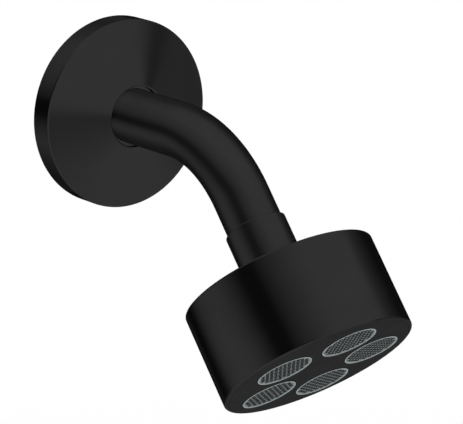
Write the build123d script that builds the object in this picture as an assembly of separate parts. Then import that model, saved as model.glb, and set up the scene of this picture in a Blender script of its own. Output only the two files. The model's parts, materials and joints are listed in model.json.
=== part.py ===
from build123d import *

import math
import os

# A round shower head on a bent wall arm, with its wall escutcheon.
# The wall is the plane Y = 0 and the arm leaves it along -Y.
# +Z is up, and the arm bends down in the plane X = 0.
# The origin is on the axis of the arm's wall thread, in the wall plane.

# Driving dimensions, in millimetres and degrees

# Arm: a bent tube with a half-inch pipe thread cut on each end
thread_diameter = 20.955
thread_shoulder = 0.37
thread_chamfer = 1.0
wall_thread_behind = 15.0
wall_thread_in_front = 2.0
arm_wall = 3.35
arm_reach = 42.2
bend_radius = 52.7
bend_angle = 49.5
arm_drop = 12.8

# Escutcheon: a turned cup with a conical front, which slides on the arm
escutcheon_diameter = 75.0
escutcheon_rim = 9.9
escutcheon_rise = 6.7
escutcheon_wall = 2.5
escutcheon_edge = 0.6
hole_gap = 1.25
hole_bevel = 0.5
hole_land = 3.0
boss_land = 1.6
boss_wall = 2.0
o_ring_section = 2.4
o_ring_side_room = 0.1

# Swivel nut, and what it clamps under the end of the arm
nut_length = 18.5
nut_step = 1.04
nut_chamfer = 1.2
nut_ledge = 2.6
nut_socket = 2.5
washer_thickness = 2.0
washer_opening = 13.0
screen_thickness = 0.4
screen_pitch = 2.6
screen_web = 0.8
limiter_height = 6.0
limiter_ledge = 0.7
limiter_wall = 1.6
limiter_web = 2.4
limiter_orifice = 3.5

# Ball joint
ball_diameter = 15.0
ball_cut = 2.4
neck_shoulder = 2.5
neck_wall = 1.7
flange_thickness = 2.5
tilt_limit = 12.0
tilt_room = 0.5
seat_wrap = 28.0
seat_foot = 0.4
seat_lip = 1.0
seat_flare = 15.0
seat_wall = 2.6
seat_shelf = 0.8
ring_lip = 2.6
ring_skirt = 2.4
ring_slots = 4
ring_slot_width = 2.5
ring_slot_depth = 1.2
seal_height = 4.4
seal_gap = 0.1
outlet_room = 1.0

# Head shell
head_diameter = 75.0
head_height = 37.1
head_top_rounding = 0.7
head_bottom_rounding = 1.2
shell_top = 3.0
shell_wall = 3.2
seal_land = 1.0
mouth_lip = 1.6
socket_wall = 2.4
socket_floor = 2.5

# Spray face, its inserts and the plates behind them
face_thickness = 3.2
face_skin = 1.0
insert_count = 5
insert_margin = 5.38
insert_gap = 4.03
insert_proud = 0.3
insert_taper = 3.0
insert_rim = 0.6
insert_recess = 0.25
hole_pitch = 1.96
hole_web = 0.55
hole_margin = 0.15
hole_turn = 41.0
gasket_thickness = 1.0
gasket_inset = 1.25
distributor_thickness = 3.0
feed_diameter = 12.0
chamber_seal_thickness = 1.0
screw_diameter = 2.9
screw_head_diameter = 5.5
screw_head_height = 1.8
screw_socket = 2.0
screw_socket_depth = 0.9
screw_outset = 7.0
screw_tip_room = 0.3

# Clearances between pieces
slide_clearance = 0.05
thread_clearance = 0.05
turn_clearance = 0.05
ball_clearance = 0.05
pass_clearance = 0.3
pocket_clearance = 0.05
face_seam = 0.1
screw_clearance = 0.15

# Sizes that follow from the driving dimensions

thread_radius = thread_diameter / 2
arm_radius = thread_radius + thread_shoulder
arm_bore_radius = arm_radius - arm_wall
ball_radius = ball_diameter / 2
seat_radius = ball_radius + ball_clearance
neck_radius = ball_radius - neck_shoulder
water_radius = neck_radius - neck_wall
head_radius = head_diameter / 2

# Heights in the head's own frame: its Z runs along the head's axis towards the arm,
# from the middle of the shell's top
seat_throat_rise = seat_radius * math.sin(math.radians(seat_wrap))
seat_top_rise = seat_throat_rise + seat_lip
ball_height = -(seat_top_rise + turn_clearance + ring_lip)
seat_top = ball_height + seat_top_rise
seat_bottom = ball_height + seat_foot
ring_lip_bottom = seat_top + turn_clearance
socket_shelf = seat_bottom - turn_clearance
socket_bottom = ball_height - ball_radius - pass_clearance
nut_radius = arm_radius + nut_step
tilt = math.radians(tilt_limit)
tilt_rise = (nut_radius * math.sin(tilt) - ball_height) / math.cos(tilt) + ball_height
nut_bottom = tilt_rise + tilt_room
nut_top = nut_bottom + nut_length
flange_bottom = nut_bottom + nut_ledge + turn_clearance
flange_top = flange_bottom + flange_thickness
screen_bottom = flange_top + turn_clearance
washer_bottom = screen_bottom + screen_thickness
arm_end = washer_bottom + washer_thickness
face_bottom = -head_height
face_top = face_bottom + face_thickness
gasket_top = face_top + gasket_thickness
distributor_top = gasket_top + distributor_thickness
shell_shoulder = distributor_top + chamber_seal_thickness

# Radii in the head's own frame
flange_radius = thread_radius - pass_clearance
seat_outer = ball_radius + seat_wall
ring_radius = seat_outer + pocket_clearance + ring_skirt
socket_radius = ring_radius + thread_clearance
seal_pocket_radius = seat_outer - seat_shelf
outlet_radius = water_radius + outlet_room
chamber_radius = head_radius - shell_wall
mouth_thread_radius = chamber_radius + seal_land
mouth_radius = head_radius - mouth_lip
half_step = math.pi / insert_count
insert_circle = (head_radius - insert_margin + insert_gap / 2) / (1 + math.sin(half_step))
insert_radius = insert_circle * math.sin(half_step) - insert_gap / 2
insert_inner_radius = insert_radius - insert_rim
screw_circle = insert_circle + screw_outset
screw_radius = screw_diameter / 2

# Places of the head and of the bend
bend_end = Vector(
    0,
    -arm_reach - bend_radius * math.sin(math.radians(bend_angle)),
    bend_radius * (math.cos(math.radians(bend_angle)) - 1),
)
arm_direction = Vector(0, -math.cos(math.radians(bend_angle)), -math.sin(math.radians(bend_angle)))
head_turn = bend_angle - 90
head_place = Location(bend_end + arm_direction * (arm_drop + nut_top), (head_turn, 0, 0))


# Ways of making a solid


def turned(*corners):
    """A solid turned about Z from the corners of its section, each a radius and a height."""
    outline = Polyline(*[(radius, 0, height) for radius, height in corners], close=True)
    return revolve(make_face(outline), Axis.Z)


def ring(inner, outer, low, high):
    """A plain ring about Z."""
    return turned((inner, low), (outer, low), (outer, high), (inner, high))


def disc(radius, low, high):
    """A plain disc about Z."""
    return Pos(0, 0, low) * Cylinder(radius, high - low, align=(Align.CENTER, Align.CENTER, Align.MIN))


def on_circle(count, radius, first_angle):
    """Places spread evenly round Z, each turned to face outwards."""
    return [Rot(0, 0, first_angle + 360 * i / count) * Pos(radius, 0, 0) for i in range(count)]


def hexagon_corner(across_flats):
    """The distance from the middle of a hexagon to its corners."""
    return across_flats / math.sqrt(3)


def hexagon_holes(opening, pitch, web, low, high):
    """Six-sided holes in a honeycomb about Z, as many as fit in a round opening of that radius."""
    hole_corner = hexagon_corner(pitch - web)
    reach = opening - hole_margin - hole_corner
    row_height = pitch * math.cos(math.pi / 6)
    rows = int(reach / row_height)
    places = []
    for row in range(-rows, rows + 1):
        for column in range(-2 * rows, 2 * rows + 1):
            x = (column + (row % 2) / 2) * pitch
            y = row * row_height
            if math.hypot(x, y) <= reach:
                places.append(Pos(x, y))
    cell = RegularPolygon(hole_corner, 6, rotation=30)
    return Pos(0, 0, low) * extrude(Sketch() + [place * cell for place in places], amount=high - low)


# The pieces that stay with the wall


def make_arm():
    """The bent tube, threaded at both ends, with a pocket for the flow limiter in its outlet."""
    wall_end = Location((0, 0, 0), (-90, 0, 0))
    across_arm = Plane((0, -arm_reach, 0), x_dir=(1, 0, 0), z_dir=(0, -1, 0))
    bend_axis = Axis((0, -arm_reach, -bend_radius), (1, 0, 0))
    shoulder = nut_top - nut_socket + pass_clearance
    threaded = turned(
        (0, -wall_thread_in_front),
        (thread_radius, -wall_thread_in_front),
        (thread_radius, wall_thread_behind - thread_chamfer),
        (thread_radius - thread_chamfer, wall_thread_behind),
        (0, wall_thread_behind),
    )
    outlet = turned(
        (0, arm_end),
        (thread_radius - thread_chamfer, arm_end),
        (thread_radius, arm_end + thread_chamfer),
        (thread_radius, shoulder),
        (arm_radius, shoulder),
        (arm_radius, nut_top + arm_drop),
        (0, nut_top + arm_drop),
    )
    body = wall_end * threaded
    body += wall_end * disc(arm_radius, -arm_reach, -wall_thread_in_front)
    body += revolve(across_arm * Circle(arm_radius), bend_axis, bend_angle)
    body += head_place * outlet
    limiter_pocket = disc(arm_bore_radius + limiter_ledge, arm_end, arm_end + limiter_height + pass_clearance)
    bore = wall_end * disc(arm_bore_radius, -arm_reach, wall_thread_behind)
    bore += revolve(across_arm * Circle(arm_bore_radius), bend_axis, bend_angle)
    bore += head_place * disc(arm_bore_radius, arm_end, nut_top + arm_drop)
    return body - bore - head_place * limiter_pocket


def make_escutcheon():
    """The wall escutcheon and the rubber ring in its bore, both about -Y."""
    out_of_wall = Location((0, 0, 0), (90, 0, 0))
    radius = escutcheon_diameter / 2
    hole_radius = arm_radius + hole_gap
    front = escutcheon_rim + escutcheon_rise
    cone_start = radius - escutcheon_edge
    cone_end = hole_radius + hole_bevel
    slope = escutcheon_rise / (cone_start - cone_end)
    wall_along_axis = escutcheon_wall * math.hypot(1, slope)
    ring_inner = arm_radius + slide_clearance
    ring_outer = ring_inner + o_ring_section
    groove_radius = ring_outer + pocket_clearance
    groove_front = front - hole_land
    groove_back = groove_front - o_ring_section - 2 * o_ring_side_room
    boss_radius = groove_radius + boss_wall
    boss_end = groove_back - boss_land
    inner_radius = radius - escutcheon_wall
    roof = front - wall_along_axis
    cup = turned(
        (inner_radius, 0),
        (radius, 0),
        (radius, escutcheon_rim - escutcheon_edge),
        (cone_start, escutcheon_rim),
        (cone_end, front),
        (hole_radius, front - hole_bevel),
        (hole_radius, groove_front),
        (groove_radius, groove_front),
        (groove_radius, groove_back),
        (hole_radius, groove_back),
        (hole_radius, boss_end),
        (boss_radius, boss_end),
        (boss_radius, roof - slope * (boss_radius - cone_end)),
        (inner_radius, roof - slope * (inner_radius - cone_end)),
    )
    rubber = ring(ring_inner, ring_outer, groove_back + o_ring_side_room, groove_front - o_ring_side_room)
    return out_of_wall * cup, out_of_wall * rubber


# The pieces of the swivel


def make_swivel_nut():
    """The collar that screws onto the arm and pulls the flange of the ball stud up against the washer."""
    socket_radius_at_top = arm_radius + thread_clearance
    nut_bore_radius = thread_radius + thread_clearance
    return turned(
        (ball_radius + pass_clearance, nut_bottom),
        (nut_radius, nut_bottom),
        (nut_radius, nut_top - nut_chamfer),
        (socket_radius_at_top, nut_top),
        (socket_radius_at_top, nut_top - nut_socket),
        (nut_bore_radius, nut_top - nut_socket),
        (nut_bore_radius, nut_bottom + nut_ledge),
        (ball_radius + pass_clearance, nut_bottom + nut_ledge),
    )


def make_inlet_washer():
    """The rubber washer between the end of the arm and the strainer."""
    return ring(washer_opening / 2, flange_radius, washer_bottom, arm_end)


def make_strainer_screen():
    """The thin perforated strainer under the washer."""
    holes = hexagon_holes(washer_opening / 2, screen_pitch, screen_web, screen_bottom, washer_bottom)
    return disc(flange_radius, screen_bottom, washer_bottom) - holes


def make_flow_limiter():
    """The moulded limiter in the outlet of the arm: a cup with one small orifice."""
    radius = arm_bore_radius + limiter_ledge - pocket_clearance
    inner = radius - limiter_wall
    top = arm_end + limiter_height
    web_low = arm_end + (limiter_height - limiter_web) / 2
    web_high = web_low + limiter_web
    return turned(
        (inner, arm_end),
        (radius, arm_end),
        (radius, top),
        (inner, top),
        (inner, web_high),
        (limiter_orifice / 2, web_high),
        (limiter_orifice / 2, web_low),
        (inner, web_low),
    )


def make_ball_stud():
    """The flange, neck and ball in one turned piece, bored through for the water."""
    neck_meets_ball = ball_height + math.sqrt(ball_radius**2 - neck_radius**2)
    cut_height = ball_height - ball_radius + ball_cut
    cut_radius = math.sqrt(ball_radius**2 - (ball_radius - ball_cut) ** 2)
    ball_side = ThreePointArc(
        (cut_radius, 0, cut_height),
        (ball_radius, 0, ball_height),
        (neck_radius, 0, neck_meets_ball),
    )
    rest = Polyline(
        (neck_radius, 0, neck_meets_ball),
        (neck_radius, 0, flange_bottom),
        (flange_radius, 0, flange_bottom),
        (flange_radius, 0, flange_top),
        (water_radius, 0, flange_top),
        (water_radius, 0, cut_height),
        (cut_radius, 0, cut_height),
    )
    return revolve(make_face(Curve() + [ball_side, rest]), Axis.Z)


def make_ball_seat():
    """The plastic ring that wraps over the upper half of the ball."""
    throat_radius = seat_radius * math.cos(math.radians(seat_wrap))
    flare_radius = throat_radius + seat_lip * math.tan(math.radians(seat_flare))
    foot_radius = math.sqrt(seat_radius**2 - seat_foot**2)
    halfway = (math.radians(seat_wrap) + math.asin(seat_foot / seat_radius)) / 2
    middle = (seat_radius * math.cos(halfway), 0, ball_height + seat_radius * math.sin(halfway))
    throat = (throat_radius, 0, ball_height + seat_throat_rise)
    hollow = ThreePointArc((foot_radius, 0, seat_bottom), middle, throat)
    rest = Polyline(
        throat,
        (flare_radius, 0, seat_top),
        (seat_outer, 0, seat_top),
        (seat_outer, 0, seat_bottom),
        (foot_radius, 0, seat_bottom),
    )
    return revolve(make_face(Curve() + [hollow, rest]), Axis.Z)


def make_retaining_ring():
    """The threaded ring flush with the head's top that holds the seat down, with slots for a spanner."""
    throat_radius = ball_radius + pass_clearance
    skirt_inner = seat_outer + pocket_clearance
    skirt_bottom = seat_bottom + pass_clearance
    body = turned(
        (throat_radius, ring_lip_bottom),
        (skirt_inner, ring_lip_bottom),
        (skirt_inner, skirt_bottom),
        (ring_radius, skirt_bottom),
        (ring_radius, 0),
        (throat_radius, 0),
    )
    slot = Box(ring_skirt * 2, ring_slot_width, ring_slot_depth * 2)
    for place in on_circle(ring_slots, ring_radius, 45):
        body -= place * slot
    return body


def make_ball_seal():
    """The rubber ring under the ball, with a face at 45 degrees that leans on it."""
    reach = (ball_radius + seal_gap) * math.sqrt(2)
    top = socket_bottom + seal_height
    outer = seal_pocket_radius - pocket_clearance
    return turned(
        (outlet_radius, socket_bottom),
        (outer, socket_bottom),
        (outer, top),
        (reach - (ball_height - top), top),
        (outlet_radius, ball_height - reach + outlet_radius),
    )


# The pieces of the head


def make_head_shell():
    """The cup of the head, open below, with the ball's socket hanging from its top."""
    boss_radius = socket_radius + socket_wall
    boss_bottom = socket_bottom - socket_floor
    shell = turned(
        (socket_radius, 0),
        (head_radius, 0),
        (head_radius, face_bottom),
        (mouth_radius, face_bottom),
        (mouth_radius, face_top),
        (mouth_thread_radius, face_top),
        (mouth_thread_radius, shell_shoulder),
        (chamber_radius, shell_shoulder),
        (chamber_radius, -shell_top),
        (boss_radius, -shell_top),
        (boss_radius, boss_bottom),
        (outlet_radius, boss_bottom),
        (outlet_radius, socket_bottom),
        (seal_pocket_radius, socket_bottom),
        (seal_pocket_radius, socket_shelf),
        (socket_radius, socket_shelf),
    )
    for height, rounding in ((0, head_top_rounding), (face_bottom, head_bottom_rounding)):
        rim = shell.edges().filter_by_position(Axis.Z, height, height).sort_by(SortBy.RADIUS)[-1]
        shell = fillet(rim, rounding)
    return shell


def make_chamber_seal():
    """The rubber ring between the distributor and the shoulder inside the shell."""
    inner = chamber_radius + pocket_clearance
    outer = mouth_thread_radius - pocket_clearance
    return ring(inner, outer, distributor_top, shell_shoulder)


def insert_places():
    """Places of the spray inserts, the first one on the side away from the wall."""
    return on_circle(insert_count, insert_circle, -90)


def screw_places():
    """Places of the screws, midway between the inserts."""
    return on_circle(insert_count, screw_circle, -90 + 180 / insert_count)


def make_distributor():
    """The moulded plate that screws into the shell and feeds each insert through its own hole."""
    plate = disc(mouth_thread_radius - thread_clearance, gasket_top, distributor_top)
    feed = disc(feed_diameter / 2, gasket_top, distributor_top)
    screw_hole = disc(screw_radius + screw_clearance, gasket_top, distributor_top)
    plate -= [place * feed for place in insert_places()]
    plate -= [place * screw_hole for place in screw_places()]
    return plate


def make_insert_gasket():
    """The rubber sheet that seals round every insert at once."""
    sheet = disc(mouth_thread_radius - gasket_inset, face_top, gasket_top)
    opening = disc(insert_inner_radius, face_top, gasket_top)
    screw_hole = disc(screw_radius + screw_clearance, face_top, gasket_top)
    sheet -= [place * opening for place in insert_places()]
    sheet -= [place * screw_hole for place in screw_places()]
    return sheet


def make_face_screw():
    """One screw, head up on the distributor, with its tip in the spray face."""
    length = distributor_thickness + gasket_thickness + face_thickness - face_skin - screw_tip_room
    head_top = distributor_top + screw_head_height
    shank = disc(screw_radius, distributor_top - length, distributor_top)
    head = disc(screw_head_diameter / 2, distributor_top, head_top)
    socket = Pos(0, 0, head_top - screw_socket_depth) * extrude(
        RegularPolygon(hexagon_corner(screw_socket), 6), amount=screw_socket_depth
    )
    return shank + head - socket


def insert_radius_at(height):
    """The radius of an insert's tapered wall at a height in the head's frame."""
    return insert_radius + (height - face_bottom) * math.tan(math.radians(insert_taper))


def make_spray_face():
    """The plate that closes the head, with a tapered opening for each insert."""
    plate = disc(mouth_radius - face_seam, face_bottom, face_top)
    opening = turned(
        (0, face_bottom),
        (insert_radius_at(face_bottom) + pocket_clearance, face_bottom),
        (insert_radius_at(face_top) + pocket_clearance, face_top),
        (0, face_top),
    )
    screw_hole = disc(screw_radius + pocket_clearance, face_bottom + face_skin, face_top)
    plate -= [place * opening for place in insert_places()]
    plate -= [place * screw_hole for place in screw_places()]
    return plate


def make_spray_insert():
    """One insert: a tapered plug with a thin rim, and a honeycomb of holes through it inside the rim."""
    rim_end = face_bottom - insert_proud
    web_face = rim_end + insert_recess
    plug = turned(
        (0, web_face),
        (insert_inner_radius, web_face),
        (insert_inner_radius, rim_end),
        (insert_radius_at(rim_end), rim_end),
        (insert_radius_at(face_top), face_top),
        (0, face_top),
    )
    holes = hexagon_holes(insert_inner_radius, hole_pitch, hole_web, web_face, face_top)
    return plug - Rot(0, 0, hole_turn) * holes


# Assembly: every node and its solid, in the shared frame


def assemble():
    """All the nodes by name."""
    escutcheon, escutcheon_o_ring = make_escutcheon()
    in_head_frame = {
        "swivel_nut": make_swivel_nut(),
        "inlet_washer": make_inlet_washer(),
        "strainer_screen": make_strainer_screen(),
        "flow_limiter": make_flow_limiter(),
        "ball_stud": make_ball_stud(),
        "ball_seat": make_ball_seat(),
        "retaining_ring": make_retaining_ring(),
        "ball_seal": make_ball_seal(),
        "head_shell": make_head_shell(),
        "chamber_seal": make_chamber_seal(),
        "distributor": make_distributor(),
        "insert_gasket": make_insert_gasket(),
        "spray_face": make_spray_face(),
    }
    nodes = {"arm_tube": make_arm(), "escutcheon": escutcheon, "escutcheon_o_ring": escutcheon_o_ring}
    for name, solid in in_head_frame.items():
        nodes[name] = head_place * solid
    insert = make_spray_insert()
    for number, place in enumerate(insert_places(), start=1):
        nodes[f"spray_insert_{number}"] = head_place * place * insert
    screw = make_face_screw()
    nodes["face_screws"] = Compound([head_place * place * screw for place in screw_places()])
    return nodes


os.makedirs("parts", exist_ok=True)
for name, solid in assemble().items():
    export_step(solid, f"parts/{name}.step")
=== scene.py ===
import json
import math

import bmesh
import bpy
from mathutils import Matrix, Vector

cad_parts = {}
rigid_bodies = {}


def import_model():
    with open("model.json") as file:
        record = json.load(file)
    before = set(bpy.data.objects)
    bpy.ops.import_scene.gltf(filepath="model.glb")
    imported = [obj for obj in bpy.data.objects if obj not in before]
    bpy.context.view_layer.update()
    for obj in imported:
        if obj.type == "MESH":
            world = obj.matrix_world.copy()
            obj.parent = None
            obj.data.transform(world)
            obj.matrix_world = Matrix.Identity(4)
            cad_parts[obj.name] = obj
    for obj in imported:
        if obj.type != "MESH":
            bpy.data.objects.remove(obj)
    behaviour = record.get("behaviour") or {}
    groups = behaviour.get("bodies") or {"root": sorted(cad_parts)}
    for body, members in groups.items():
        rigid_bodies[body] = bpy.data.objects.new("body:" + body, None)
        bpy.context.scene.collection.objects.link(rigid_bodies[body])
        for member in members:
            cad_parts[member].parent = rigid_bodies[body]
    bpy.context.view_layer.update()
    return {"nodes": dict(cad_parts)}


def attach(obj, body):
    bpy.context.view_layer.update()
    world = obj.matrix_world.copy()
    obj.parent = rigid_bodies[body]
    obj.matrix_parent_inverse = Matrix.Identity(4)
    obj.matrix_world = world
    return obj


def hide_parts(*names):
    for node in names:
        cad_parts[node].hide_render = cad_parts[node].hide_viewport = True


# A round shower head on a bent wall arm, in a satin black coat, shown in a white light tent.

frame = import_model()
MM = 0.001

# Sizes of the part, in millimetres and degrees, as its solids have them

# Arm
thread_diameter = 20.955
thread_shoulder = 0.37
thread_chamfer = 1.0
wall_thread_behind = 15.0
wall_thread_in_front = 2.0
arm_wall = 3.35
arm_reach = 42.2
bend_radius = 52.7
bend_angle = 49.5
arm_drop = 12.8

# Escutcheon
escutcheon_diameter = 75.0
escutcheon_rim = 9.9
escutcheon_rise = 6.7
escutcheon_wall = 2.5
escutcheon_edge = 0.6
hole_gap = 1.25
hole_bevel = 0.5
hole_land = 3.0
boss_land = 1.6
boss_wall = 2.0
o_ring_section = 2.4
o_ring_side_room = 0.1

# Swivel nut and what lies under the end of the arm
nut_length = 18.5
nut_step = 1.04
nut_ledge = 2.6
nut_socket = 2.5
washer_thickness = 2.0
screen_thickness = 0.4
limiter_height = 6.0
limiter_ledge = 0.7

# Ball joint
ball_diameter = 15.0
ball_cut = 2.4
neck_shoulder = 2.5
neck_wall = 1.7
flange_thickness = 2.5
tilt_limit = 12.0
tilt_room = 0.5
seat_wrap = 28.0
seat_foot = 0.4
seat_lip = 1.0
seat_wall = 2.6
seat_shelf = 0.8
ring_lip = 2.6
ring_skirt = 2.4
outlet_room = 1.0

# Head
head_diameter = 75.0
head_height = 37.1
head_top_rounding = 0.7
head_bottom_rounding = 1.2
shell_top = 3.0
shell_wall = 3.2
seal_land = 1.0
mouth_lip = 1.6
socket_wall = 2.4
socket_floor = 2.5
face_thickness = 3.2
gasket_thickness = 1.0
distributor_thickness = 3.0
chamber_seal_thickness = 1.0
insert_count = 5
first_insert_turn = -90.0
insert_margin = 5.38
insert_gap = 4.03
insert_proud = 0.3
insert_taper = 3.0
insert_rim = 0.6
insert_recess = 0.25
hole_corners = 6
hole_pitch = 1.96
hole_web = 0.55
hole_margin = 0.15
hole_turn = 41.0

# Clearances
thread_clearance = 0.05
turn_clearance = 0.05
ball_clearance = 0.05
slide_clearance = 0.05
pass_clearance = 0.3
pocket_clearance = 0.05
face_seam = 0.1

# Detail that only the looks have: thread form and small rounded edges.
# The thread's flat is at its root and at its crest, as a share of half a pitch.
inch = 25.4
threads_per_inch = 14
thread_depth = 1.162
thread_flat = 0.16
thread_run_out = 3.0
hole_edge = 0.1
face_edge = 0.04
soft_edge = 0.25
fine_edge = 0.12
escutcheon_front_edge = 0.65
nut_top_edge = 0.45

# Fineness of the meshes, in steps, degrees and millimetres
arc_steps = 5
turn_segments = 144
arm_segments = 96
thread_rows = 12
bend_rows = 40
insert_segments = 96
ball_rows = 20
sharp_angle = 40.0
weld_distance = 0.001

# Finishes: the two colours that the patches lie between, and the range of the roughness. A coat also has
# its share of metal, with the rest of it matt, and the tint of its gloss where it is seen at a slant.
coat_black = ((0.0285, 0.0285, 0.029), (0.0315, 0.0315, 0.032))
coat_roughness = (0.11, 0.15)
coat_metal = 1
# The arm's coat, also on the nut, is a lighter copy of the coat: its lighter colour and its matt share are
# painted light for the brighter light on the arm.
arm_lit_black = ((0.0295, 0.0295, 0.03), (0.0325, 0.0325, 0.033))
arm_roughness = (0.16, 0.21)
arm_metal_lit = 0.86
edge_tint = 0.45
face_black = ((0.0235, 0.0235, 0.0237), (0.0275, 0.0275, 0.0277))
face_roughness = (0.5, 0.6)
rim_grey = ((0.27, 0.315, 0.32), (0.33, 0.375, 0.38))
rim_roughness = (0.35, 0.45)
lattice_grey = ((0.105, 0.121, 0.123), (0.153, 0.173, 0.175))
lattice_roughness = (0.4, 0.5)
# Painted shade: near black that stands for the shade inside holes and gaps.
hole_shade_black = ((0.005, 0.0055, 0.0055), (0.01, 0.011, 0.011))
hole_roughness = (0.5, 0.6)
rubber_black = ((0.012, 0.012, 0.012), (0.02, 0.02, 0.02))
rubber_roughness = (0.6, 0.75)
plastic_white = ((0.7, 0.7, 0.68), (0.76, 0.76, 0.74))
white_roughness = (0.35, 0.45)
plastic_grey = ((0.12, 0.12, 0.125), (0.16, 0.16, 0.165))
grey_roughness = (0.4, 0.5)
steel_grey = ((0.5, 0.5, 0.51), (0.62, 0.62, 0.63))
steel_roughness = (0.25, 0.4)

# Textures, in millimetres: the size of the patches, the size of the grain and the strength of its relief,
# whose depth is a share of the grain's size. Noise is stretched from between its low and high values.
coat_texture = (14, 0.35, 0.015)
face_texture = (9, 0.3, 0.08)
plastic_texture = (3, 0.2, 0.1)
steel_texture = (2, 0.1, 0.1)
patch_detail = 3
patch_roughness = 0.6
grain_detail = 2
grain_roughness = 0.5
grain_depth = 0.1
noise_low = 0.3
noise_high = 0.7

# Places of the materials on pieces that have more than one. A face of the escutcheon is in its hole's
# wall if it looks straight at the arm by more than the inward share; that wall gets painted shade.
escutcheon_coat = 0
escutcheon_hole_shade = 1
shell_coat = 0
shell_face = 1
insert_rim_place = 0
insert_lattice_place = 1
insert_shade_place = 2
inward_share = 0.9

# Floor, in metres
floor_height = -0.25
floor_radius = 8.0
floor_segments = 64
floor_colour = (0.9, 0.9, 0.9)
floor_roughness = 0.9
floor_glow = 0.1

# Dark and dim places of the light tent, which only reflections show. A direction is an azimuth and an
# elevation. A strip has the direction that it lies square to, its brightness at angles across it, its
# middle, and the share of its darkness from its ends to its middle. A spot has its middle and its
# brightness. An angle is counted from the plane that the direction stands on, so at a middle it is 90.
tent_strips = (
    (
        (121.7, 58.3),
        ((-22, 1), (-18, 0.85), (-9, 0.18), (-7, 0.08), (1, 0.08), (5, 0.3), (16, 0.65), (26, 0.78), (45, 1)),
        (-119.2, 16.7),
        ((-7, 0), (22, 1)),
    ),
    (
        (138.0, 0.0),
        ((-11, 1), (-7, 0.84), (-0.5, 0.38), (2.5, 0.36), (6.5, 0.6), (20, 0.62), (60, 1)),
        (60.0, -3.0),
        ((62, 0), (71, 1)),
    ),
    (
        (5.0, 83.0),
        ((-30, 1), (-24, 0.87), (-14, 0.71), (-3.3, 0.55), (1.2, 1)),
        (6.0, -18.0),
        ((58, 0), (70, 1)),
    ),
)
tent_spots = (
    ((139.0, -16.0), ((44, 1), (60, 0.4), (70, 0.03))),
    ((119.0, 10.0), ((40, 1), (45, 0.92), (54, 0.6), (64, 0.46), (74, 0.28), (82, 0.14))),
    ((170.0, -34.0), ((58, 1), (68, 0.7), (90, 0.3))),
)

# Camera, in millimetres and degrees. Its focal length is in pixels of the image.
camera_azimuth = -38.209
camera_elevation = 15.032
camera_roll = 0.467
camera_distance = 1014.08
camera_target = Vector((6.531, -67.981, -28.289))
camera_near = 50.0
camera_far = 50000.0
focal_pixels = 2674.02
image_width = 463
sensor_width = 36.0

# Values that follow from the sizes
thread_radius = thread_diameter / 2
thread_pitch = inch / threads_per_inch
arm_radius = thread_radius + thread_shoulder
arm_bore_radius = arm_radius - arm_wall
ball_radius = ball_diameter / 2
seat_radius = ball_radius + ball_clearance
neck_radius = ball_radius - neck_shoulder
water_radius = neck_radius - neck_wall
head_radius = head_diameter / 2
nut_radius = arm_radius + nut_step
tilt = math.radians(tilt_limit)
bend = math.radians(bend_angle)
bend_length = bend_radius * bend
taper = math.tan(math.radians(insert_taper))

# Heights in the head's own frame, from the middle of the shell's top, towards the arm
seat_top_rise = seat_radius * math.sin(math.radians(seat_wrap)) + seat_lip
ball_height = -(seat_top_rise + turn_clearance + ring_lip)
socket_shelf = ball_height + seat_foot - turn_clearance
socket_bottom = ball_height - ball_radius - pass_clearance
nut_bottom = (nut_radius * math.sin(tilt) - ball_height) / math.cos(tilt) + ball_height + tilt_room
nut_top = nut_bottom + nut_length
flange_bottom = nut_bottom + nut_ledge + turn_clearance
flange_top = flange_bottom + flange_thickness
arm_end = flange_top + turn_clearance + screen_thickness + washer_thickness
face_bottom = -head_height
face_top = face_bottom + face_thickness
shell_shoulder = face_top + gasket_thickness + distributor_thickness + chamber_seal_thickness
rim_end = face_bottom - insert_proud
lattice_end = rim_end + insert_recess

# Radii in the head's own frame
flange_radius = thread_radius - pass_clearance
seat_outer = ball_radius + seat_wall
socket_radius = seat_outer + pocket_clearance + ring_skirt + thread_clearance
outlet_radius = water_radius + outlet_room
chamber_radius = head_radius - shell_wall
mouth_thread_radius = chamber_radius + seal_land
mouth_radius = head_radius - mouth_lip
half_step = math.pi / insert_count
insert_circle = (head_radius - insert_margin + insert_gap / 2) / (1 + math.sin(half_step))
insert_radius = insert_circle * math.sin(half_step) - insert_gap / 2
insert_inner_radius = insert_radius - insert_rim
hole_flats = hole_pitch - hole_web

# Places of the pieces, which carry points in millimetres to the frame's metres
scale = Matrix.Diagonal((MM, MM, MM, 1))
bend_end = Vector((0, -arm_reach - bend_radius * math.sin(bend), bend_radius * (math.cos(bend) - 1)))
arm_direction = Vector((0, -math.cos(bend), -math.sin(bend)))
head_origin = bend_end + arm_direction * (arm_drop + nut_top)
head_place = scale @ Matrix.Translation(head_origin) @ Matrix.Rotation(bend - math.pi / 2, 4, "X")
wall_place = scale @ Matrix.Rotation(math.pi / 2, 4, "X")


# Meshes


def corner_arc(corner, before, after, rounding):
    """Points that round a corner between two directions that leave it."""
    half = before.angle(after) / 2
    centre = corner + (before + after).normalized() * (rounding / math.sin(half))
    start = corner + before * (rounding / math.tan(half)) - centre
    end = corner + after * (rounding / math.tan(half)) - centre
    turn = math.atan2(start.x * end.y - start.y * end.x, start.dot(end))
    points = []
    for i in range(arc_steps + 1):
        points.append(centre + Matrix.Rotation(turn * i / arc_steps, 2) @ start)
    return points


def rounded(*corners):
    """A closed outline from corners given as radius, height and rounding."""
    points = []
    for i, (radius, height, rounding) in enumerate(corners):
        corner = Vector((radius, height))
        before = Vector(corners[i - 1][:2]) - corner
        after = Vector(corners[(i + 1) % len(corners)][:2]) - corner
        if rounding:
            points += corner_arc(corner, before.normalized(), after.normalized(), rounding)
        else:
            points.append(corner)
    return points


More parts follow.
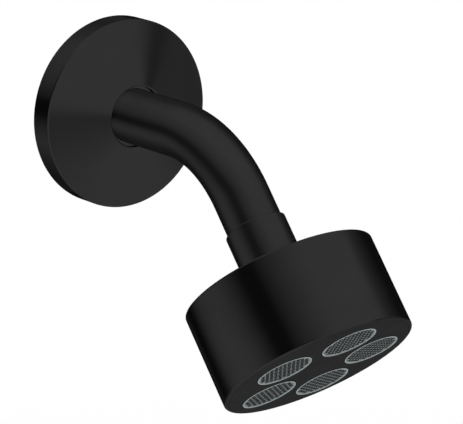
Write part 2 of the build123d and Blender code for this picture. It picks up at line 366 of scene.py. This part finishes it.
def mesh_object(name, shape, place, body, node):
    """A smooth object from a bmesh, which stands for a node of the solids and rides on its body."""
    bmesh.ops.remove_doubles(shape, verts=shape.verts, dist=weld_distance)
    bmesh.ops.recalc_face_normals(shape, faces=shape.faces)
    mesh = bpy.data.meshes.new(name)
    shape.transform(place)
    shape.to_mesh(mesh)
    shape.free()
    mesh.shade_smooth()
    mesh.set_sharp_from_angle(angle=math.radians(sharp_angle))
    piece = bpy.data.objects.new(name, mesh)
    bpy.context.scene.collection.objects.link(piece)
    piece.modifiers.new("even shading", "WEIGHTED_NORMAL").keep_sharp = True
    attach(piece, body)
    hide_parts(node)
    return piece


def skin(shape, rows, closed):
    """Faces between rows of points, and from the last row to the first if closed."""
    made = [[shape.verts.new(point) for point in row] for row in rows]
    pairs = list(zip(made, made[1:]))
    if closed:
        pairs.append((made[-1], made[0]))
    for low, high in pairs:
        for i in range(len(low) - 1):
            shape.faces.new((low[i], low[i + 1], high[i + 1], high[i]))
    return made


def circle(radius, height, segments):
    """Points of a circle about Z, with the first one again at the end."""
    angles = [2 * math.pi * i / segments for i in range(segments + 1)]
    return [Vector((radius * math.cos(a), radius * math.sin(a), height)) for a in angles]


def turned(name, outline, place, body):
    """A piece turned about Z from a closed outline of radii and heights."""
    shape = bmesh.new()
    skin(shape, [circle(point.x, point.y, turn_segments) for point in outline], closed=True)
    return mesh_object(name + "_looks", shape, place, body, name)


def wall_of(shape, rows):
    """A wall through closed rows of points, and its first and last loops of vertices."""
    made = skin(shape, rows, closed=False)
    for row in made:
        bmesh.ops.pointmerge(shape, verts=[row[0], row[-1]], merge_co=row[0].co)
    return made[0][:-1], made[-1][:-1]


def fill(shape, loops):
    """A flat face inside the first loop of vertices and outside the others."""
    edges = []
    for loop in loops:
        for a, b in zip(loop, loop[1:] + loop[:1]):
            edges.append(shape.edges.get((a, b)) or shape.edges.new((a, b)))
    bmesh.ops.triangle_fill(shape, use_beauty=True, edges=edges)


# Arm: a tube along a bent line, with a helical thread at the wall end


def along_arm(radius, run, angle):
    """A point at a radius and angle round the arm's line, at a run from the wall along it."""
    turn = min(max((run - arm_reach) / bend_radius, 0), bend)
    out = Vector((0, -math.sin(turn), math.cos(turn)))
    ahead = Vector((0, -math.cos(turn), -math.sin(turn)))
    middle = Vector((0, -arm_reach, -bend_radius)) + out * bend_radius
    rest = min(run - arm_reach, 0) + max(run - arm_reach - bend_length, 0)
    across = Vector((math.cos(angle), 0, 0)) + out * math.sin(angle)
    return middle + ahead * rest + across * radius


def thread_height(phase):
    """How far up the thread's side a phase of its pitch lies, from 0 at the root to 1 at the crest."""
    rise = (abs(2 * (phase % 1) - 1) - thread_flat) / (1 - 2 * thread_flat)
    rise = min(max(rise, 0), 1)
    return rise * rise * (3 - 2 * rise)


def thread_point(angle, row):
    """A point of the wall thread, on the row that winds round the arm."""
    turns = angle / (2 * math.pi)
    run = -wall_thread_behind + thread_pitch * (row / thread_rows + turns - 1)
    run = min(max(run, -wall_thread_behind), wall_thread_in_front - fine_edge)
    phase = (run + wall_thread_behind) / thread_pitch - turns
    left = min(max((wall_thread_in_front - run) / thread_run_out, 0), 1)
    depth = thread_depth * left * (1 - thread_height(phase))
    lead_in = thread_radius - thread_chamfer + run + wall_thread_behind
    return along_arm(min(thread_radius - depth, lead_in), run, angle)


def thread_points():
    """Rows of the wall thread's points, from its open end to its run-out."""
    length = wall_thread_behind + wall_thread_in_front
    row_count = math.ceil((length / thread_pitch + 1) * thread_rows)
    angles = [2 * math.pi * i / arm_segments for i in range(arm_segments + 1)]
    return [[thread_point(angle, row) for angle in angles] for row in range(row_count + 1)]


def arm_row(radius, run):
    """Points round the arm at one run along it."""
    return [along_arm(radius, run, 2 * math.pi * i / arm_segments) for i in range(arm_segments + 1)]


def make_arm():
    """The bent tube."""
    head_run = arm_reach + bend_length + arm_drop + nut_top
    shoulder = head_run - (nut_top - nut_socket + pass_clearance)
    outlet = head_run - arm_end
    pocket = outlet - limiter_height - pass_clearance
    pocket_radius = arm_bore_radius + limiter_ledge
    bend_runs = [arm_reach + bend_length * i / bend_rows for i in range(bend_rows + 1)]
    inlet = [
        (arm_bore_radius, -wall_thread_behind + soft_edge),
        (arm_bore_radius + soft_edge, -wall_thread_behind),
    ]
    outside = [
        (thread_radius, wall_thread_in_front),
        (arm_radius - soft_edge, wall_thread_in_front),
        (arm_radius, wall_thread_in_front + soft_edge),
    ]
    outside += [(arm_radius, run) for run in bend_runs]
    outside += [
        (arm_radius, shoulder),
        (thread_radius, shoulder),
        (thread_radius, outlet - thread_chamfer),
        (thread_radius - thread_chamfer, outlet),
    ]
    inside = [
        (pocket_radius, outlet),
        (pocket_radius, pocket),
        (arm_bore_radius, pocket),
    ]
    inside += [(arm_bore_radius, run) for run in reversed(bend_runs)]
    rows = [arm_row(radius, run) for radius, run in inlet]
    rows += thread_points()
    rows += [arm_row(radius, run) for radius, run in outside + inside]
    shape = bmesh.new()
    skin(shape, rows, closed=True)
    return mesh_object("arm_tube_looks", shape, scale, "arm", "arm_tube")


# Turned pieces


def shade_hole_wall(escutcheon, reach):
    """Gives the faces that look at the arm, within a reach of its line, the painted shade of the hole."""
    for polygon in escutcheon.data.polygons:
        outward = Vector((polygon.center.x, 0, polygon.center.z))
        looks_inward = polygon.normal.dot(outward.normalized()) < -inward_share
        in_shaded_hole = looks_inward and outward.length < reach * MM
        polygon.material_index = escutcheon_hole_shade if in_shaded_hole else escutcheon_coat


def make_escutcheon():
    """The wall escutcheon, with a soft front edge, the groove of its rubber ring and painted shade in its
    hole.
    """
    radius = escutcheon_diameter / 2
    hole_radius = arm_radius + hole_gap
    front = escutcheon_rim + escutcheon_rise
    cone_start = radius - escutcheon_edge
    cone_end = hole_radius + hole_bevel
    slope = escutcheon_rise / (cone_start - cone_end)
    roof = front - escutcheon_wall * math.hypot(1, slope)
    groove_radius = arm_radius + slide_clearance + o_ring_section + pocket_clearance
    groove_front = front - hole_land
    groove_back = groove_front - o_ring_section - 2 * o_ring_side_room
    boss_radius = groove_radius + boss_wall
    boss_end = groove_back - boss_land
    inner_radius = radius - escutcheon_wall
    outline = rounded(
        (inner_radius, 0, soft_edge),
        (radius, 0, soft_edge),
        (radius, escutcheon_rim - slope * escutcheon_edge / 2, escutcheon_front_edge),
        (cone_end, front, fine_edge),
        (hole_radius, front - hole_bevel, fine_edge),
        (hole_radius, groove_front, fine_edge),
        (groove_radius, groove_front, fine_edge),
        (groove_radius, groove_back, fine_edge),
        (hole_radius, groove_back, fine_edge),
        (hole_radius, boss_end, fine_edge),
        (boss_radius, boss_end, soft_edge),
        (boss_radius, roof - slope * (boss_radius - cone_end), soft_edge),
        (inner_radius, roof - slope * (inner_radius - cone_end), soft_edge),
    )
    escutcheon = turned("escutcheon", outline, wall_place, "escutcheon")
    shade_hole_wall(escutcheon, boss_radius)
    return escutcheon


def make_swivel_nut():
    """The collar on the end of the arm."""
    outline = rounded(
        (ball_radius + pass_clearance, nut_bottom, soft_edge),
        (nut_radius, nut_bottom, soft_edge),
        (nut_radius, nut_top, nut_top_edge),
        (arm_radius + thread_clearance, nut_top, 0),
        (arm_radius + thread_clearance, nut_top - nut_socket, 0),
        (thread_radius + thread_clearance, nut_top - nut_socket, 0),
        (thread_radius + thread_clearance, nut_bottom + nut_ledge, 0),
        (ball_radius + pass_clearance, nut_bottom + nut_ledge, 0),
    )
    return turned("swivel_nut", outline, head_place, "arm")


def make_ball_stud():
    """The flange, neck and ball in one piece."""
    lowest = math.asin((ball_cut - ball_radius) / ball_radius)
    highest = math.acos(neck_radius / ball_radius)
    outline = []
    for i in range(ball_rows + 1):
        angle = lowest + (highest - lowest) * i / ball_rows
        outline.append(Vector((ball_radius * math.cos(angle), ball_height + ball_radius * math.sin(angle))))
    outline += rounded(
        (neck_radius, flange_bottom, 0),
        (flange_radius, flange_bottom, soft_edge),
        (flange_radius, flange_top, soft_edge),
        (water_radius, flange_top, soft_edge),
        (water_radius, outline[0].y, soft_edge),
    )
    return turned("ball_stud", outline, head_place, "ball")


def mark_lower_edge(shell):
    """Gives the faces below the middle of the shell's lower rounding the material of the spray face."""
    middle = head_place @ Vector((0, 0, face_bottom + head_bottom_rounding / 2))
    down = -(head_place.to_3x3() @ Vector((0, 0, 1))).normalized()
    for polygon in shell.data.polygons:
        below = (polygon.center - middle).dot(down) > 0
        polygon.material_index = shell_face if below else shell_coat


def make_head_shell():
    """The cup of the head, with the ball's socket hanging from its top."""
    boss_radius = socket_radius + socket_wall
    boss_bottom = socket_bottom - socket_floor
    seal_pocket_radius = seat_outer - seat_shelf
    outline = rounded(
        (socket_radius, 0, fine_edge),
        (head_radius, 0, head_top_rounding),
        (head_radius, face_bottom, head_bottom_rounding),
        (mouth_radius, face_bottom, fine_edge),
        (mouth_radius, face_top, 0),
        (mouth_thread_radius, face_top, 0),
        (mouth_thread_radius, shell_shoulder, 0),
        (chamber_radius, shell_shoulder, soft_edge),
        (chamber_radius, -shell_top, soft_edge),
        (boss_radius, -shell_top, soft_edge),
        (boss_radius, boss_bottom, soft_edge),
        (outlet_radius, boss_bottom, 0),
        (outlet_radius, socket_bottom, 0),
        (seal_pocket_radius, socket_bottom, 0),
        (seal_pocket_radius, socket_shelf, 0),
        (socket_radius, socket_shelf, 0),
    )
    shell = turned("head_shell", outline, head_place, "head")
    mark_lower_edge(shell)
    return shell


# Spray face and inserts


def insert_place(number):
    """The place of an insert in the head's frame, the first one on the side away from the wall."""
    turn = math.radians(first_insert_turn + 360 * number / insert_count)
    return Matrix.Rotation(turn, 4, "Z") @ Matrix.Translation((insert_circle, 0, 0))


def insert_radius_at(height):
    """The radius of an insert's tapered side at a height in the head's frame."""
    return insert_radius + (height - face_bottom) * taper


def opening_rows(number):
    """Rows of points round the wall of one opening in the spray face, with a softened edge below."""
    place = insert_place(number)
    rows = []
    for height, step in ((face_bottom, face_edge), (face_bottom + face_edge, 0), (face_top, 0)):
        radius = insert_radius_at(height) + pocket_clearance + step
        rows.append([place @ point for point in circle(radius, height, insert_segments)])
    return rows


def make_spray_face():
    """The plate that closes the head, with a softened edge at its seam and at each opening."""
    shape = bmesh.new()
    outer = mouth_radius - face_seam
    walls = [[
        circle(outer - face_edge, face_bottom, turn_segments),
        circle(outer, face_bottom + face_edge, turn_segments),
        circle(outer, face_top, turn_segments),
    ]]
    walls += [opening_rows(number) for number in range(insert_count)]
    ends = [wall_of(shape, rows) for rows in walls]
    for loops in zip(*ends):
        fill(shape, loops)
    return mesh_object("spray_face_looks", shape, head_place, "head", "spray_face")


def hole_places(opening):
    """Centres of the honeycomb's holes, as many as fit in a round opening of that radius."""
    reach = opening - hole_margin - hole_flats / math.sqrt(3)
    row_height = hole_pitch * math.cos(math.pi / 6)
    rows = int(reach / row_height)
    places = []
    for row in range(-rows, rows + 1):
        for column in range(-2 * rows, 2 * rows + 1):
            place = Vector(((column + (row % 2) / 2) * hole_pitch, row * row_height, 0))
            if place.length <= reach:
                places.append(Matrix.Rotation(math.radians(hole_turn), 3, "Z") @ place)
    return places


def hexagon(across_flats, height, middle):
    """Corners of a hexagon, with the first one again at the end."""
    radius = across_flats / math.sqrt(3)
    step = 360 / hole_corners
    angles = [math.radians(hole_turn + step * (i + 0.5)) for i in range(hole_corners + 1)]
    return [middle + Vector((radius * math.cos(a), radius * math.sin(a), height)) for a in angles]


def insert_material_place(face):
    """The place of the material that a face of an insert has. Its outer side and the walls of its holes get
    painted shade.
    """
    nearest = min(math.hypot(vert.co.x, vert.co.y) for vert in face.verts)
    highest = max(vert.co.z for vert in face.verts)
    if nearest > insert_radius - 2 * fine_edge and highest > rim_end + 2 * fine_edge:
        return insert_shade_place
    if nearest > insert_inner_radius - fine_edge:
        return insert_rim_place
    if highest < lattice_end + hole_edge / 2:
        return insert_lattice_place
    return insert_shade_place


def make_spray_insert(number):
    """One insert: a tapered plug with a thin rim and a fine honeycomb of holes inside it."""
    shape = bmesh.new()
    walls = [[
        circle(insert_inner_radius, lattice_end, insert_segments),
        circle(insert_inner_radius, rim_end + fine_edge, insert_segments),
        circle(insert_inner_radius + fine_edge, rim_end, insert_segments),
        circle(insert_radius_at(rim_end) - fine_edge, rim_end, insert_segments),
        circle(insert_radius_at(rim_end), rim_end + fine_edge, insert_segments),
        circle(insert_radius_at(face_top), face_top, insert_segments),
    ]]
    for middle in hole_places(insert_inner_radius):
        walls.append([
            hexagon(hole_flats + 2 * hole_edge, lattice_end, middle),
            hexagon(hole_flats, lattice_end + hole_edge, middle),
            hexagon(hole_flats, face_top, middle),
        ])
    ends = [wall_of(shape, rows) for rows in walls]
    for loops in zip(*ends):
        fill(shape, loops)
    for face in shape.faces:
        face.material_index = insert_material_place(face)
    node = f"spray_insert_{number + 1}"
    place = head_place @ insert_place(number)
    return mesh_object(node + "_looks", shape, place, "head", node)


# Materials


def new_material(name):
    """A material with a principled shader."""
    material = bpy.data.materials.new(name)
    material.use_nodes = True
    return material


def shader_of(material):
    """The principled shader of a material."""
    return material.node_tree.nodes["Principled BSDF"]


def take_gloss_away(material):
    """Leaves a material without the clear gloss that lies over what isn't metal."""
    shader_of(material).inputs["Specular IOR Level"].default_value = 0.0


def noise(tree, features, detail, roughness):
    """Noise in the piece's own frame, with features of a size in millimetres."""
    place = tree.nodes.new("ShaderNodeTexCoord")
    texture = tree.nodes.new("ShaderNodeTexNoise")
    texture.inputs["Scale"].default_value = 1 / (features * MM)
    texture.inputs["Detail"].default_value = detail
    texture.inputs["Roughness"].default_value = roughness
    tree.links.new(place.outputs["Object"], texture.inputs["Vector"])
    return texture.outputs["Fac"]


def spread(tree, value, low, high):
    """A noise value stretched between two numbers."""
    node = tree.nodes.new("ShaderNodeMapRange")
    node.inputs["From Min"].default_value = noise_low
    node.inputs["From Max"].default_value = noise_high
    node.inputs["To Min"].default_value = low
    node.inputs["To Max"].default_value = high
    tree.links.new(value, node.inputs["Value"])
    return node.outputs["Result"]


def blend_colours(tree, value, first, second):
    """A colour between two others, by a noise value."""
    ramp = tree.nodes.new("ShaderNodeValToRGB")
    ramp.color_ramp.elements[0].position = noise_low
    ramp.color_ramp.elements[0].color = (*first, 1)
    ramp.color_ramp.elements[1].position = noise_high
    ramp.color_ramp.elements[1].color = (*second, 1)
    tree.links.new(value, ramp.inputs["Fac"])
    return ramp.outputs["Color"]


def add_bump(tree, shader, value, strength, depth):
    """Fine relief of a depth in millimetres."""
    bump = tree.nodes.new("ShaderNodeBump")
    bump.inputs["Strength"].default_value = strength
    bump.inputs["Distance"].default_value = depth * MM
    tree.links.new(value, bump.inputs["Height"])
    tree.links.new(bump.outputs["Normal"], shader.inputs["Normal"])


def surface(name, colours, roughness, metallic, texture):
    """A finish with soft colour patches, an uneven gloss and a fine grain."""
    patches, grain, relief = texture
    material = new_material(name)
    shader = shader_of(material)
    tree = material.node_tree
    broad = noise(tree, patches, patch_detail, patch_roughness)
    fine = noise(tree, grain, grain_detail, grain_roughness)
    shader.inputs["Metallic"].default_value = metallic
    tree.links.new(blend_colours(tree, broad, *colours), shader.inputs["Base Color"])
    tree.links.new(spread(tree, fine, *roughness), shader.inputs["Roughness"])
    add_bump(tree, shader, fine, relief, grain * grain_depth)
    return material


def coat_material(name, black, roughness, metallic):
    """Satin black coat on metal, dark where it is seen at a slant, and matt as far as it isn't metallic."""
    material = surface(name, black, roughness, metallic, coat_texture)
    take_gloss_away(material)
    shader_of(material).inputs["Specular Tint"].default_value = (edge_tint, edge_tint, edge_tint, 1)
    return material


def face_material():
    """The matt black coat of the spray face."""
    material = surface("matt_black_face", face_black, face_roughness, metallic=0, texture=face_texture)
    take_gloss_away(material)
    return material


def plastic_material(name, colours, roughness):
    """Moulded plastic or rubber."""
    return surface(name, colours, roughness, metallic=0, texture=plastic_texture)


def hole_shade_material():
    """Painted shade for the walls of holes and gaps: near black, without gloss."""
    material = plastic_material("painted_hole_shade", hole_shade_black, hole_roughness)
    take_gloss_away(material)
    return material


def steel_material():
    """Plain bright steel."""
    return surface("bright_steel", steel_grey, steel_roughness, metallic=1, texture=steel_texture)


def give(piece, *materials):
    """Gives a new piece its materials, each at its place."""
    for material in materials:
        piece.data.materials.append(material)


def dress(names, material):
    """Gives solids that stay in view a material."""
    for name in names:
        mesh = frame["nodes"][name].data
        mesh.materials.clear()
        mesh.materials.append(material)


def dress_all():
    """Every piece with its material."""
    coat = coat_material("satin_black_coat", coat_black, coat_roughness, coat_metal)
    # A lighter copy of the coat, as painted light on the arm and nut.
    lit_arm_coat = coat_material("satin_black_arm_coat_lit", arm_lit_black, arm_roughness, arm_metal_lit)
    rim = plastic_material("insert_rim_grey", rim_grey, rim_roughness)
    lattice = plastic_material("insert_lattice_grey", lattice_grey, lattice_roughness)
    # Painted shade on the walls of holes, on the escutcheon's hole and on the inserts' outer sides.
    holes = hole_shade_material()
    rubber = plastic_material("black_rubber", rubber_black, rubber_roughness)
    white = plastic_material("white_plastic", plastic_white, white_roughness)
    grey = plastic_material("grey_plastic", plastic_grey, grey_roughness)
    steel = steel_material()
    face = face_material()
    give(make_arm(), lit_arm_coat)
    give(make_swivel_nut(), lit_arm_coat)
    give(make_ball_stud(), coat)
    give(make_escutcheon(), coat, holes)
    give(make_head_shell(), coat, face)
    give(make_spray_face(), face)
    for number in range(insert_count):
        give(make_spray_insert(number), rim, lattice, holes)
    dress(["retaining_ring"], coat)
    dress(["escutcheon_o_ring", "inlet_washer", "ball_seal", "chamber_seal", "insert_gasket"], rubber)
    dress(["ball_seat", "flow_limiter"], white)
    dress(["distributor"], grey)
    dress(["strainer_screen", "face_screws"], steel)


def hide_from_gloss():
    """Keeps the pieces out of each other's reflections, which show the tent alone."""
    for piece in bpy.context.scene.objects:
        piece.visible_glossy = False


# Stage: floor, light tent and camera


def direction(azimuth, elevation):
    """The way from the object towards an azimuth and elevation. Azimuth 0 is straight out of the wall."""
    a = math.radians(azimuth)
    e = math.radians(elevation)
    return Vector((math.sin(a) * math.cos(e), -math.cos(a) * math.cos(e), math.sin(e)))


def math_node(tree, operation, *values):
    """The result of a math node on links or numbers."""
    node = tree.nodes.new("ShaderNodeMath")
    node.operation = operation
    for socket, value in zip(node.inputs, values):
        if isinstance(value, (int, float)):
            socket.default_value = value
        else:
            tree.links.new(value, socket)
    return node.outputs[0]


def make_floor():
    """A wide pale floor, with a faint glow of its own for what looks at it."""
    bpy.ops.mesh.primitive_circle_add(
        vertices=floor_segments,
        radius=floor_radius,
        fill_type="NGON",
        location=(0, 0, floor_height),
    )
    floor = bpy.context.object
    floor.name = "floor"
    material = new_material("pale_floor")
    take_gloss_away(material)
    tree = material.node_tree
    shader = shader_of(material)
    shader.inputs["Base Color"].default_value = (*floor_colour, 1)
    shader.inputs["Roughness"].default_value = floor_roughness
    shader.inputs["Emission Color"].default_value = (1, 1, 1, 1)
    path = tree.nodes.new("ShaderNodeLightPath")
    seen = path.outputs["Is Camera Ray"]
    for kind in ("Is Glossy Ray", "Is Transmission Ray"):
        seen = math_node(tree, "MAXIMUM", seen, path.outputs[kind])
    glow = math_node(tree, "MULTIPLY", seen, floor_glow)
    tree.links.new(glow, shader.inputs["Emission Strength"])
    floor.data.materials.append(material)
    floor.visible_glossy = False


def angle_from(tree, ray, towards):
    """The angle in degrees between a ray and the plane that a direction stands on."""
    dot = tree.nodes.new("ShaderNodeVectorMath")
    dot.operation = "DOT_PRODUCT"
    dot.inputs[1].default_value = direction(*towards)
    tree.links.new(ray, dot.inputs[0])
    lean = math_node(tree, "ARCSINE", dot.outputs["Value"])
    return math_node(tree, "MULTIPLY", lean, math.degrees(1))


def shade_by(tree, value, stops):
    """A brightness that follows stops of a value."""
    lowest = stops[0][0]
    highest = stops[-1][0]
    ramp = tree.nodes.new("ShaderNodeValToRGB")
    points = ramp.color_ramp.elements
    while len(points) < len(stops):
        points.new(position=0.5)
    for point, (stop, shade) in zip(points, stops):
        point.position = (stop - lowest) / (highest - lowest)
        point.color = (shade, shade, shade, 1)
    share = tree.nodes.new("ShaderNodeMapRange")
    share.inputs["From Min"].default_value = lowest
    share.inputs["From Max"].default_value = highest
    tree.links.new(value, share.inputs["Value"])
    tree.links.new(share.outputs["Result"], ramp.inputs["Fac"])
    return ramp.outputs["Color"]


def make_tent():
    """An even white light from all round, whose reflections show the tent's dark openings."""
    world = bpy.data.worlds.new("light_tent")
    world.use_nodes = True
    tree = world.node_tree
    ray = tree.nodes.new("ShaderNodeTexCoord").outputs["Generated"]
    light = 1.0
    for square_to, stops, middle, ends in tent_strips:
        across = shade_by(tree, angle_from(tree, ray, square_to), stops)
        along = shade_by(tree, angle_from(tree, ray, middle), ends)
        dark = math_node(tree, "MULTIPLY", math_node(tree, "SUBTRACT", 1, across), along)
        light = math_node(tree, "MULTIPLY", light, math_node(tree, "SUBTRACT", 1, dark))
    for middle, stops in tent_spots:
        dim = shade_by(tree, angle_from(tree, ray, middle), stops)
        light = math_node(tree, "MULTIPLY", light, dim)
    path = tree.nodes.new("ShaderNodeLightPath")
    not_glossy = math_node(tree, "SUBTRACT", 1, path.outputs["Is Glossy Ray"])
    light = math_node(tree, "MAXIMUM", light, not_glossy)
    background = tree.nodes["Background"]
    background.inputs["Color"].default_value = (1, 1, 1, 1)
    tree.links.new(light, background.inputs["Strength"])
    bpy.context.scene.world = world


def make_camera():
    """The camera, where the photograph was taken from."""
    back = direction(camera_azimuth, camera_elevation)
    right = (-back).cross(Vector((0, 0, 1))).normalized()
    up = back.cross(right)
    roll = Matrix.Rotation(math.radians(camera_roll), 3, back)
    right = roll @ right
    up = roll @ up
    place = (camera_target + back * camera_distance) * MM
    data = bpy.data.cameras.new("camera")
    data.sensor_fit = "HORIZONTAL"
    data.sensor_width = sensor_width
    data.lens = focal_pixels / image_width * sensor_width
    data.clip_start = camera_near * MM
    data.clip_end = camera_far * MM
    camera = bpy.data.objects.new("camera", data)
    bpy.context.scene.collection.objects.link(camera)
    camera.matrix_world = Matrix((
        (right.x, up.x, back.x, place.x),
        (right.y, up.y, back.y, place.y),
        (right.z, up.z, back.z, place.z),
        (0, 0, 0, 1),
    ))
    bpy.context.scene.camera = camera


def make_stage():
    """Floor, light and camera."""
    make_floor()
    make_tent()
    make_camera()
    bpy.context.scene.view_settings.view_transform = "Standard"


dress_all()
hide_from_gloss()
make_stage()
